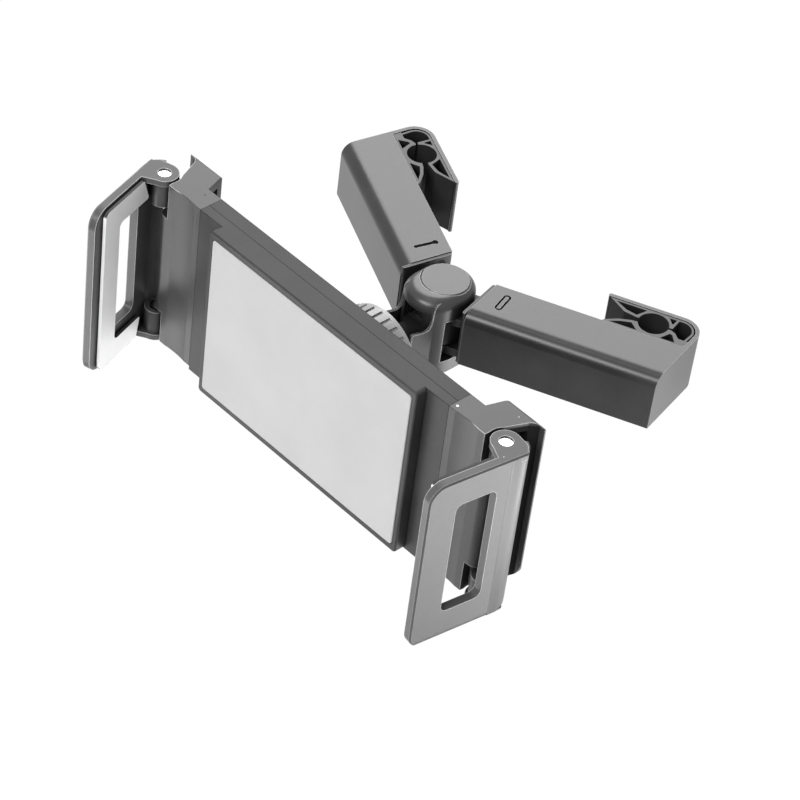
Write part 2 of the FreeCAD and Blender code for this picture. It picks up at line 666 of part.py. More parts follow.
def slider(side):
    part = piece("left_slider" if side < 0 else "right_slider")
    core_low, core_high = span(side, half_width, slider_end)
    part.pad("XZ", face_depth, body_depth, box_loop(core_low, core_high, -end_bottom, half_height))
    hollow_middle = (half_width + slider_end) / 2
    hollow = [(half_width + 1.0, face_depth - 0.4),
              (hollow_middle, face_depth + hollow_depth, hollow_radius),
              (slider_end - 1.0, face_depth - 0.4)]
    part.cut("XY", -end_bottom, half_height, mirrored(side, hollow))
    hump = [(half_width + hump_start, body_depth - 1.0), (half_width + hump_start + hump_run, end_back, 2.0),
            (end_reach, end_back, 0.9), (end_reach, end_back - 1.5, 0.4),
            (end_reach - 3.6, end_back - 1.8, 1.5), (end_reach - 6.2, end_back - 4.5, 1.5),
            (slider_end + 0.8, face_depth + 6.6), (slider_end, face_depth),
            (slider_end - 1.0, face_depth), (slider_end - 1.0, body_depth - 1.0)]
    part.pad("XY", -end_bottom, half_height, mirrored(side, hump))
    inside_low, inside_high = span(side, half_width + 1.0, end_reach + 1.0)
    part.cut("YZ", inside_low, inside_high,
             box_loop(body_depth, end_back - end_thick, -end_bottom + end_thick, half_height - end_thick, 1.0))
    part.cut("XZ", body_depth, end_back + 1.0,
             mirrored(side, flipped(corner_cut(end_reach, end_bottom, corner_round, 2.0))))
    rear_low, rear_high = span(side, half_width, end_reach + 1.0)
    part.cut("YZ", rear_low, rear_high, corner_cut(end_back, half_height, rear_round))
    column = [(slider_end - 1.0, face_depth), (column_reach, face_depth, 5.0),
              (column_reach, body_depth - 1.0, 1.0),
              (slider_end - 1.0, body_depth - 1.0)]
    part.pad("XY", -column_half, column_half, mirrored(side, column))
    for up in (-1, 1):
        low, high = lug_inner, half_height - ear_thick - swing_gap
        if up < 0:
            low, high = -claw_bottom + ear_thick + swing_gap, -lug_inner
        part.pad("XY", low, high, ("circle", side * pin_across, pin_depth, lug_radius))
        web = [(slider_end - 1.0, pin_depth), (pin_across, pin_depth), (pin_across, pin_depth + lug_radius),
               (slider_end - 1.0, pin_depth + lug_radius)]
        part.pad("XY", low, high, mirrored(side, web))
        part.cut("XY", low, high, ("circle", side * pin_across, pin_depth, pin_radius + seat_gap))
    part.cut("XY", half_height - ear_thick - swing_gap, half_height,
             ("circle", side * pin_across, pin_depth, claw_inner + scoop_gap))
    part.cut("XY", -end_bottom, -end_bottom + ear_thick + swing_gap - 1.6,
             ("circle", side * pin_across, pin_depth, claw_inner + scoop_gap))
    tongue_low, tongue_high = span(side, tongue_start, half_width + 1.0)
    part.pad("XZ", tongue_front, tongue_back, box_loop(tongue_low, tongue_high, -tongue_half, tongue_half, 0.6))
    for up in (-1, 1):
        window_low, window_high = span(side, tongue_start + 8.0, half_width - 6.0)
        bottom, top = (3.0, tongue_half - 8.0) if up > 0 else (-tongue_half + 8.0, -3.0)
        part.cut("XZ", tongue_front, tongue_back, box_loop(window_low, window_high, bottom, top, 2.0))
    up = 1 if side < 0 else -1
    bar_low, bar_high = span(side, -rack_reach + 10.0, tongue_start + 1.0)
    bottom, top = (rack_root, rack_top) if up > 0 else (-rack_top, -rack_root)
    part.pad("XZ", tongue_front, tongue_back, box_loop(bar_low, bar_high, bottom, top))
    half_root = tooth_pitch / 4 + tooth_module * 1.25 * tangent(Size(20, "20")) - tooth_backlash
    half_tip = tooth_pitch / 4 - tooth_module * tangent(Size(20, "20")) - tooth_backlash
    shift = tooth_pitch / 2 - tooth_pitch * (rack_teeth / 2)
    tip = pitch_radius - tooth_module
    rack_tooth = part.pad("XZ", tongue_front, tongue_back,
                          [(shift - half_root, up * (rack_root + 0.2)), (shift - half_tip, up * tip),
                           (shift + half_tip, up * tip), (shift + half_root, up * (rack_root + 0.2))])
    part.row_of(rack_tooth, tooth_pitch, rack_teeth)
    place_cradle(part)
    return part


sliders = {side: slider(side) for side in (-1, 1)}


# Claws
window_near = cell("window_near", 9.65, "pin to the near edge of the claw's window")
window_far = cell("window_far", 29.8, "pin to the far edge of the claw's window")
window_top = cell("window_top", 32.0, "claw's window above the middle")
window_bottom = cell("window_bottom", 29.0, "claw's window below the middle")
ear_slant = cell("ear_slant", 3.0, "front edge of the ears runs forward by")
claw_edge = cell("claw_edge", 0.8, "bevel of the claw's outer face")
claw_round = cell("claw_round", 3.9, "lower outer edge of the claw")
back_round = cell("back_round", 7.0, "outer edge of the claw beside its pin")
grip_front = cell("grip_front", 39.0, "pin to the front edge of the claw pad")
grip_half = cell("grip_half", 45.0, "claw pad above and below the middle")
grip_start = cell("grip_start", 5.0, "pin to the claw pad's strips beside the window")
grip_ear = cell("grip_ear", 9.4, "pin to the claw pad's strips beside the ears")
grip_margin = cell("grip_margin", 1.0, "window's upper edge to the claw pad")
grip_lower = cell("grip_lower", 5.0, "window's lower edge to the claw pad")
grip_inset = cell("grip_inset", 1.2, "foot of the claw pad inside its face")


def claw(side):
    part = piece("left_claw" if side < 0 else "right_claw")
    low, high = span(side, claw_inner, claw_inner + claw_thick)
    part.pad("YZ", low, high, [(-claw_length, -claw_bottom, 8.0), (claw_back, -claw_bottom, 5.0),
                               (claw_back, claw_top), (-claw_length, claw_top, 8.5)])
    outer = claw_inner + claw_thick
    part.soften("Chamfer", claw_edge, lambda middle, way: abs(side * middle.x - outer.number) < 0.01
                and middle.y < claw_back.number - 0.01)
    part.cut("YZ", low, high, box_loop(-window_far, -window_near, -window_bottom, window_top, 3.5))
    for up in (-1, 1):
        low, high = (claw_top - ear_thick, claw_top) if up > 0 else (-claw_bottom, -claw_bottom + ear_thick)
        ear = [(0, -ear_radius), (outer - claw_edge, -ear_radius - ear_slant),
               (outer - claw_edge, ear_radius, 5.0), (0, ear_radius)]
        part.pad("XY", low, high, ("circle", 0, 0, ear_radius))
        part.pad("XY", low, high, mirrored(side, ear))
        part.cut("XY", low, high, ("circle", 0, 0, pin_radius + run_gap))
    part.cut("XZ", -claw_length - 1.0, claw_back + ear_radius,
             mirrored(side, flipped(corner_cut(outer, claw_bottom, claw_round, 0.1))))
    part.cut("XY", -claw_bottom + ear_thick, claw_top - ear_thick,
             mirrored(side, corner_cut(outer, claw_back, back_round)))
    place_pin(part, side)
    return part


def grip_outline(inset):
    """Outline of the claw pad, a frame open towards the hinge, drawn in by the inset."""
    front = -grip_front + inset
    back = -window_far + 2.2 - inset
    strip = -grip_start - inset
    ear = -grip_ear - inset
    high, low = grip_half - inset, -grip_half + inset
    upper = window_top + grip_margin + inset
    lower = -window_bottom - grip_lower - inset
    return [(front, low, 3.0), (ear, low, 1.0), (strip - 2.0, lower, 1.0), (back, lower, 2.5),
            (back, upper, 2.5), (strip, upper, 1.0), (ear, high, 1.0), (front, high, 3.0)]


def claw_pad(side):
    part = piece("left_claw_pad" if side < 0 else "right_claw_pad")
    foot_end = claw_inner - seat_gap / 3
    face_low = foot_end - grip_foot - grip_thick
    low, high = span(side, face_low, face_low + grip_thick)
    part.pad("YZ", low, high, grip_outline(0.0))
    low, high = span(side, face_low + grip_thick, foot_end)
    part.pad("YZ", low, high, grip_outline(grip_inset))
    place_pin(part, side)
    return part


for side in (-1, 1):
    claw(side)
    claw_pad(side)
    word = "left" if side < 0 else "right"
    members = []
    for up in (-1, 1):
        member = Piece("%s_claw_pin_%s" % (word, "top" if up > 0 else "bottom"))
        low, high = (lug_inner - 1.0, claw_top - pin_recess)
        if up < 0:
            low, high = -claw_bottom + pin_recess, -lug_inner + 1.0
        member.pad("XY", low, high, ("circle", 0, 0, pin_radius))
        place_pin(member, side)
        members.append(member)
    group(word + "_claw_pins", members)

# Ball joint
stud = piece("ball_stud")
stud.ball("Additive", ball_radius)
stem_end = hinge_depth - ball_depth - web_depth - 3.2
ball_flat = cell("ball_flat", 10.0, "ball's middle to the flat on its hidden end")
stud.cut("XZ", -ball_radius - 1.0, -ball_flat, ("circle", 0, 0, ball_radius))
stud.pad("XZ", ball_radius - 1.5, stem_end, ("circle", 0, 0, stem_radius))
place_ball(stud)


def cup(name, near, far):
    """A slice of a spherical shell round the ball, between two distances from its middle."""
    part = piece(name)
    part.ball("Additive", ball_radius + run_gap + seat_thick)
    part.ball("Subtractive", ball_radius + run_gap)
    reach = seat_radius + 5.0
    part.cut("XZ", far, reach, box_loop(-reach, reach, -reach, reach))
    part.cut("XZ", -reach, near, box_loop(-reach, reach, -reach, reach))
    place_ball(part)


cup_width = cell("cup_width", 2.6, "both seats along the joint's axis")
rear_cup = cell("rear_cup", 2.0, "ball's middle to the near edge of the rear seat")
front_cup = cell("front_cup", 4.0, "ball's middle to the near edge of the front seat")
cup("rear_seat", rear_cup, rear_cup + cup_width)
cup("front_seat", -front_cup - cup_width, -front_cup)

nut = piece("ring_nut")
rim = cell("rim", 2.0, "plain rear rim of the ring nut")
nut_low = nut_front - ball_depth
nut_high = nut_back - ball_depth
nut.pad("XZ", nut_low, nut_high - rim, ("circle", 0, 0, nut_radius))
flute_half = cell("flute_half", 1.2, "half the width of a groove of the ring nut")
flute_depth = cell("flute_depth", 1.0, "grooves of the ring nut")
flute = nut.cut("XZ", nut_low, nut_high - rim,
                [(-flute_half, nut_radius + 1.0), (-flute_half * 0.5, nut_radius - flute_depth),
                 (flute_half * 0.5, nut_radius - flute_depth), (flute_half, nut_radius + 1.0)])
nut.ring_of(flute, "Y", 28)
nut.pad("XZ", nut_high - rim, nut_high, ("circle", 0, 0, nut_radius - 0.8))
nut.cut("XZ", nut_low, Size(2.6, "2.6"), ("circle", 0, 0, socket_radius + run_gap))
nut.ball("Subtractive", seat_radius)
nut_mouth = root(seat_radius * seat_radius - nut_high * nut_high)
place_ball(nut)

# Yoke
yoke = piece("yoke_housing")
yoke.pad("XY", -yoke_bottom, yoke_top, ("circle", 0, 0, yoke_radius))
yoke.pad("XY", -yoke_bottom, yoke_top, ("circle", 0, -yoke_nose, yoke_radius))
yoke.pad("XY", -yoke_bottom, yoke_top, box_loop(-yoke_radius, yoke_radius, -yoke_nose, 0))
nose_round = cell("nose_round", 5.5, "upper front edge of the yoke")
yoke.soften("Fillet", nose_round, lambda middle, way: abs(middle.z - yoke_top.number) < 0.01
            and middle.y < -yoke_nose.number - 1)
yoke.cut("XY", -slot_bottom, slot_top, box_loop(-yoke_radius - 2, yoke_radius + 2, -web_depth, yoke_radius + 2))
yoke.cut("XY", -slot_bottom, slot_top, ("circle", 0, 0, knuckle_radius + 0.4))
neck_radius = cell("neck_radius", 6.6, "yoke's neck")
neck_low = neck_start - hinge_depth
yoke.pad("XZ", neck_low, -web_depth - 3.2, ("circle", 0, 0, neck_radius))
yoke.cut("YZ", -5.6, 5.6, [(-yoke_radius - yoke_nose - 1, 6.0), (-web_depth, 6.0), (-web_depth, slot_top + 5.0, 3.0),
                           (-yoke_radius - yoke_nose - 1, slot_top + 5.0)])
yoke.cut("XZ", neck_low, -web_depth - 3.2, ("circle", 0, 0, stem_radius + seat_gap))
yoke.cut("XY", yoke_top - cap_thick - 0.2, yoke_top, ("circle", 0, 0, cap_radius + seat_gap))
bolt_head = cell("bolt_head", 7.0, "head of the hinge bolt")
bolt_head_thick = cell("bolt_head_thick", 4.0, "head of the hinge bolt")
head_seat = yoke_top - cap_thick - 0.4 - bolt_head_thick
yoke.cut("XY", head_seat, yoke_top, ("circle", 0, 0, bolt_head + 0.4))
yoke.cut("XY", -yoke_bottom, yoke_top, ("circle", 0, 0, bolt_radius + run_gap))
nut_half = cell("nut_half", 5.5, "hinge nut, middle to a flat")
nut_thick = cell("nut_thick", 4.0, "hinge nut")


def hexagon(half):
    """A hexagon by half its width across flats."""
    corner = half / cosine(Size(30, "30"))
    return [(corner * cosine(Size(a, str(a))), corner * sine(Size(a, str(a)))) for a in range(0, 360, 60)]


yoke.cut("XY", -yoke_bottom, -yoke_bottom + nut_thick + 0.2, hexagon(nut_half + seat_gap))
place_hinge(yoke)

cap = piece("hub_cap")
cap.pad("XY", yoke_top - cap_thick, yoke_top, ("circle", 0, 0, cap_radius))
cap.soften("Chamfer", 0.5, lambda middle, way: abs(middle.z - yoke_top.number) < 0.01)
place_hinge(cap)

bolt = piece("hub_bolt")
bolt.pad("XY", head_seat + stack_gap, head_seat + stack_gap + bolt_head_thick, ("circle", 0, 0, bolt_head))
bolt.pad("XY", -yoke_bottom + 0.2, head_seat + stack_gap, ("circle", 0, 0, bolt_radius))
bolt.cut("XY", head_seat + 1.6, head_seat + stack_gap + bolt_head_thick, hexagon(Size(2.5, "2.5")))
place_hinge(bolt)

hub_nut = piece("hub_nut")
hub_nut.pad("XY", -yoke_bottom + 0.1, -yoke_bottom + 0.1 + nut_thick, hexagon(nut_half))
hub_nut.cut("XY", -yoke_bottom, -yoke_bottom + 0.1 + nut_thick, ("circle", 0, 0, bolt_radius + run_gap))
place_hinge(hub_nut)

# The stack between the yoke's cheeks, from the top down
upper_ear = slot_top - stack_gap
upper_washer = upper_ear - ear_plate - stack_gap
middle_top = upper_washer - washer_thick - stack_gap
lower_washer = middle_top - middle_plate - stack_gap
lower_ear = lower_washer - washer_thick - stack_gap
wave_top = lower_ear - ear_plate - stack_gap
washers = []
for index, top in enumerate((upper_washer, lower_washer)):
    member = Piece("friction_washer_%d" % (index + 1))
    member.pad("XY", top - washer_thick, top, ("circle", 0, 0, knuckle_radius - 1.4),
               ("circle", 0, 0, bolt_radius + run_gap))
    place_hinge(member)
    washers.append(member)
group("friction_washers", washers)
wave = piece("spring_washer")
wave.pad("XY", -slot_bottom + stack_gap, wave_top, ("circle", 0, 0, knuckle_radius - 3.0),
         ("circle", 0, 0, bolt_radius + run_gap))
place_hinge(wave)


# Arms
def near_end(v):
    return arm_near + v * tangent(arm_slant)


def far_end(v):
    return arm_far + v * tangent(arm_slant)


grip_wall = cell("grip_wall", 1.1, "strip of the rubber grip along the hook")
arm_screw_near = cell("arm_screw_near", 30.0, "hinge axis to the first arm screw")
arm_screw_far = cell("arm_screw_far", 44.0, "hinge axis to the second arm screw")


mark_along = cell("mark_along", 27.3, "hinge axis to the mark on each arm")
mark_length = cell("mark_length", 11.5, "mark across the arm")
mark_width = cell("mark_width", 3.6, "mark on the right arm")
mark_ring = cell("mark_ring", 1.0, "groove round the right arm's mark")
mark_bump = cell("mark_bump", 0.5, "round end of the left arm's mark")
mark_depth = cell("mark_depth", 1.2, "marks on the arms")
mark_slant = cell("mark_slant", 8.0, "slant of the marks")


def slanted_slot(half, reach):
    """A slot with round ends across the arm, leaning with the arm's ends."""
    lean = reach * tangent(mark_slant)
    radius = half * 0.96
    return [(mark_along - half - lean, -reach, radius), (mark_along + half - lean, -reach, radius),
            (mark_along + half + lean, reach, radius), (mark_along - half + lean, reach, radius)]


def arm(side):
    word = "left" if side < 0 else "right"
    part = piece(word + "_arm")
    hook_inner = hook_reach - hook_wall
    outline = [(near_end(-arm_front), -arm_front), (far_end(-arm_front), -arm_front),
               (far_end(hook_reach), hook_reach, 9.0), (hook_tip, hook_reach, 0.8), (hook_tip, hook_inner, 0.8),
               (far_end(hook_inner) - hook_wall, hook_inner, 7.0), (far_end(arm_back) - hook_wall, arm_back, 2.0),
               (near_end(arm_back), arm_back)]
    part.pad("XY", -arm_bottom, arm_top, mirrored(side, outline))
    part.soften("Fillet", arm_round, lambda middle, way: abs(middle.z - arm_top.number) < 0.01
                and middle.y < -arm_front.number + 0.01)
    inner_end = post_along + 8.0
    low, high = span(side, arm_near - 6.0, inner_end)
    part.cut("YZ", low, high, box_loop(-arm_front + arm_wall, arm_back - arm_wall,
                                       -arm_bottom + arm_wall, arm_top - arm_wall, 3.0))
    mark_half = mark_width / 2 if side > 0 else mark_width / 4
    floor = arm_top - mark_depth
    part.cut("XY", floor, arm_top, mirrored(side, slanted_slot(mark_half, mark_length / 2)))
    if side > 0:
        island = mark_half - mark_ring
        part.pad("XY", floor, arm_top, mirrored(side, slanted_slot(island, mark_length / 2 - mark_ring)))
    else:
        end = mark_length / 2 - mark_half
        part.cut("XY", floor, arm_top,
                 ("circle", side * (mark_along + end * tangent(mark_slant)), end, mark_half + mark_bump))
    for along in (arm_screw_near, arm_screw_far):
        x, y = side * along, (arm_back - arm_front) / 2
        part.pad("XY", -arm_bottom, -arm_bottom + arm_wall, ("circle", x, y, head_radius + 1.0))
        part.cut("XY", -arm_bottom, -arm_bottom + 0.3 + head_thick, ("circle", x, y, head_radius + seat_gap))
        part.cut("XY", -arm_bottom, -arm_bottom + arm_wall, ("circle", x, y, screw_radius + seat_gap))
    place_hinge(part, side)
    return part


bridge_front = web_depth - 0.2
bridge_back = arm_back - 1.0
bridge_lap = cell("bridge_lap", 0.6, "end of the knuckle's bridge inside its flange")


def knuckle(side):
    word = "left" if side < 0 else "right"
    part = piece(word + "_knuckle")
    lap = 0.4
    flange = [(near_end(-arm_front) - flange_thick, -arm_front + lap, 1.0),
              (near_end(-arm_front) - seat_gap, -arm_front + lap), (near_end(arm_back) - seat_gap, arm_back - lap),
              (near_end(arm_back) - flange_thick, arm_back - lap, 1.0)]
    part.pad("XY", -arm_bottom + lap, arm_top - lap, mirrored(side, flange))
    low, high = span(side, arm_near - 1.0, arm_near + tenon_length)
    gap = arm_wall + seat_gap
    part.pad("YZ", low, high, box_loop(-arm_front + gap, arm_back - gap, -arm_bottom + gap, arm_top - gap, 3.0))
    low, high = span(side, arm_near + 4.0, arm_near + tenon_length)
    gap = arm_wall + seat_gap + 2.4
    part.cut("YZ", low, high, box_loop(-arm_front + gap, arm_back - gap, -arm_bottom + gap, arm_top - gap, 1.0))
    for along in (arm_screw_near, arm_screw_far):
        x, y = side * along, (arm_back - arm_front) / 2
        low = -arm_bottom + arm_wall + seat_gap
        part.cut("XY", low, low + 2.4, ("circle", x, y, screw_radius))
    layers = [(middle_top - middle_plate, middle_top)]
    if side > 0:
        layers = [(upper_ear - ear_plate, upper_ear), (lower_ear - ear_plate, lower_ear)]
    for low, high in layers:
        bridge = [(0, -bridge_front), (near_end(-bridge_front) - bridge_lap, -bridge_front),
                  (near_end(bridge_back) - bridge_lap, bridge_back), (0, bridge_back)]
        part.pad("XY", low, high, mirrored(side, bridge))
        part.pad("XY", low, high, ("circle", 0, 0, knuckle_radius))
        part.cut("XY", low, high, ("circle", 0, 0, bolt_radius + run_gap))
    place_hinge(part, side)
    return part


def post_grip(side):
    """Rubber insert of the hook: strips along its walls and ribs that hold the post."""
    word = "left" if side < 0 else "right"
    part = piece(word + "_post_grip")
    top = hook_reach - hook_wall - seat_gap
    bottom = arm_back + seat_gap
    inner = top - grip_wall
    floor = bottom + grip_wall
    end_top = far_end(top) - hook_wall - seat_gap
    end_bottom_side = far_end(bottom) - hook_wall - seat_gap
    upper = [(hook_tip + 1.0, top), (hook_tip + 9.6, 21.0, 1.0), (hook_tip + 15.5, 19.9, 0.4),
             (post_along + 8.6, 19.9, 0.4), (post_along + 9.8, inner, 0.4),
             (end_top - grip_wall - 0.2, inner, 5.5), (end_bottom_side - grip_wall, 14.6),
             (end_bottom_side - 0.01, 14.6), (end_top, top, 6.8)]
    lower = [(hook_tip + 2.6, bottom), (hook_tip + 3.4, bottom + 1.2, 0.5), (hook_tip + 9.0, 15.1, 1.0),
             (hook_tip + 14.4, 16.9, 0.5), (post_along + 8.2, 18.8, 0.5), (post_along + 10.6, 17.6, 0.5),
             (post_along + 12.8, 14.8, 1.0), (end_bottom_side + 1.0, 14.8), (end_bottom_side, bottom, 1.8)]
    part.pad("XY", -arm_bottom + 0.3, arm_top - 0.3, mirrored(side, upper))
    part.pad("XY", -arm_bottom + 0.3, arm_top - 0.3, mirrored(side, lower))
    part.cut("XY", -arm_bottom, arm_top, ("circle", side * post_along, post_offset, post_radius))
    voids = [
        [(hook_tip + 4.2, inner), (hook_tip + 10.0, 22.7, 0.5), (hook_tip + 15.2, 21.4, 0.5),
         (hook_tip + 16.0, 22.4, 0.5), (hook_tip + 18.6, inner)],
        [(post_along + 5.2, inner), (post_along + 7.8, 22.4, 0.4), (post_along + 8.7, inner)],
        [(hook_tip + 5.6, floor), (hook_tip + 10.0, 13.9, 0.5), (hook_tip + 14.9, 15.4, 0.5), (hook_tip + 18.4, floor)],
        [(post_along + 5.4, floor), (post_along + 8.6, 16.4, 0.5), (post_along + 9.8, 15.9, 0.5),
         (post_along + 12.2, floor)],
    ]
    for void in voids:
        part.cut("XY", -arm_bottom, arm_top, mirrored(side, void))
    place_hinge(part, side)
    return part


for side in (-1, 1):
    arm(side)
    knuckle(side)
    post_grip(side)
    word = "left" if side < 0 else "right"
    members = []
    for index, along in enumerate((arm_screw_near, arm_screw_far)):
        member = Piece("%s_arm_screw_%d" % (word, index + 1))
        x, y = side * along, (arm_back - arm_front) / 2
        low = -arm_bottom + 0.3
        member.pad("XY", low, low + head_thick, ("circle", x, y, head_radius))
        member.pad("XY", low + head_thick, low + 7.4, ("circle", x, y, screw_radius - 0.02))
        member.cut("XY", low, low + 0.9, box_loop(x - 1.6, x + 1.6, y - 0.35, y + 0.35))
        member.cut("XY", low, low + 0.9, box_loop(x - 0.35, x + 0.35, y - 1.6, y + 1.6))
        place_hinge(member, side)
        members.append(member)
    group(word + "_arm_screws", members)

# Every piece is checked before it is written
doc.recompute()
for item in doc.Objects:
    if "Invalid" in item.State or "Error" in item.State:
        raise RuntimeError("%s is not valid: %s" % (item.Name, item.State))
for name, part in pieces.items():
    shape = part.body.Shape if isinstance(part, Piece) else part.Shape
    if shape.isNull() or not shape.isValid() or not shape.Solids:
        raise RuntimeError(name + " has no sound shape")
    print(name, len(shape.Solids), round(shape.Volume, 1), round(shape.BoundBox.XLength, 1),
          round(shape.BoundBox.YLength, 1), round(shape.BoundBox.ZLength, 1))
    shape.exportStep("parts/%s.step" % name)
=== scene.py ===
import math

import bpy
import mathutils
import numpy as np
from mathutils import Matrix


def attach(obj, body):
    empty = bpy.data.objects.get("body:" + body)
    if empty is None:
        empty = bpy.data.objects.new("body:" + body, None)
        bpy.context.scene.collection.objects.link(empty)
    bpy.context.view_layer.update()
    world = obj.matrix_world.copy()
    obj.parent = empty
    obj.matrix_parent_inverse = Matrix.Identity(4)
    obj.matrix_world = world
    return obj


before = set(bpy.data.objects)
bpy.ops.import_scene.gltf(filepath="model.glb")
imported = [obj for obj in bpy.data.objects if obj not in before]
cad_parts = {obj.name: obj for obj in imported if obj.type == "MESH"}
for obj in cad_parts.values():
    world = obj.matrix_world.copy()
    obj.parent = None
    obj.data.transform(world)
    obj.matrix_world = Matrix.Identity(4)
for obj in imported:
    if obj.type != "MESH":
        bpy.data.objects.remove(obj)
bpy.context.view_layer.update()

# Places in millimetres from the middle of the front pad: x to the right post, y to the headrest, z up
HINGE_DEPTH = 82.3
ARM_TURN = math.radians(25.0)
POST_ALONG = 90.8
POST_ACROSS = 19.3
POST_X = POST_ALONG * math.cos(ARM_TURN) - POST_ACROSS * math.sin(ARM_TURN)
POST_Y = POST_ALONG * math.sin(ARM_TURN) + POST_ACROSS * math.cos(ARM_TURN)
ARM_MIDDLE_HEIGHT = 5.65
ROW_SHIFT = np.array([POST_X, -(HINGE_DEPTH + POST_Y), -ARM_MIDDLE_HEIGHT])
CLAW_PIN_X = 107.3
CLAW_PIN_Y = 10.2
CLAW_ANGLES = {-1: 17.0, 1: 9.0}
SIDE_WORDS = {-1: "left", 1: "right"}
MM_IN_METRE = 1000.0

# Noise patterns of the materials: scale per metre and levels of detail
PLASTIC_CLOUDS = (38.0, 4.0)
PLASTIC_GRAIN = (2600.0, 2.0)
HIGHLIGHT_BREAKS = (210.0, 3.0)
RUBBER_CLOUDS = (30.0, 3.0)
RUBBER_GRAIN = (3400.0, 2.0)
TOP_LIGHT_BREAKS = (900.0, 3.0)
LATHE_STREAKS = (900.0, 3.0)
STEEL_STAINS = (120.0, 4.0)
ACETAL_CLOUDS = (160.0, 3.0)
ACETAL_GRAIN = (1500.0, 2.0)

# Greys from 0 to 255 of painted shade in gaps, of dark joints, of painted black shade in recesses and of the
# pins' painted shade, and how much rougher dark joints and recesses are
PAINTED_SHADE_TONE = 6
JOINT_TONE = 4
RECESS_SHADE_TONE = 3
SHADED_STEEL_TONE = 48
DARK_ROUGHNESS = 0.5

# Reach of a joint's dark edge in metres, and the way in millimetres over which dark joints give way to the
# painted pale highlight
JOINT_RADIUS = 0.0006
SEAM_FADE = 4.0


def row_place(points):
    """Points in millimetres from the pad's middle, as metres in the row frame."""
    return (np.asarray(points, float) + ROW_SHIFT) / MM_IN_METRE


class Value:
    """A socket of a material, with its sums written as Python expressions."""

    def __init__(self, shader, socket):
        self.shader = shader
        self.socket = socket

    def math(self, operation, *others):
        """Any step of the Math node on this value and others."""
        return self.shader.math(operation, self, *others)

    def __add__(self, other):
        return self.math("ADD", other)

    def __radd__(self, other):
        return self + other

    def __sub__(self, other):
        return self.math("SUBTRACT", other)

    def __rsub__(self, other):
        return self.shader.math("SUBTRACT", other, self)

    def __mul__(self, other):
        return self.math("MULTIPLY", other)

    def __rmul__(self, other):
        return self * other

    def ramp(self, low, high):
        """0 below low, 1 above high, and a smooth step between them."""
        return self.shader.node("ShaderNodeMapRange", {"interpolation_type": "SMOOTHSTEP"},
                                {"Value": self, "From Min": low, "From Max": high})[0]

    def within(self, low, high, low_fade, high_fade):
        """1 between low and high and 0 outside them, with a smooth step inside each end."""
        return self.ramp(low, low + low_fade) * (1.0 - self.ramp(high - high_fade, high))


class Outputs:
    """The outputs of a node, by name or number."""

    def __init__(self, shader, made):
        self.shader = shader
        self.made = made

    def __getitem__(self, key):
        return Value(self.shader, self.made.outputs[key])


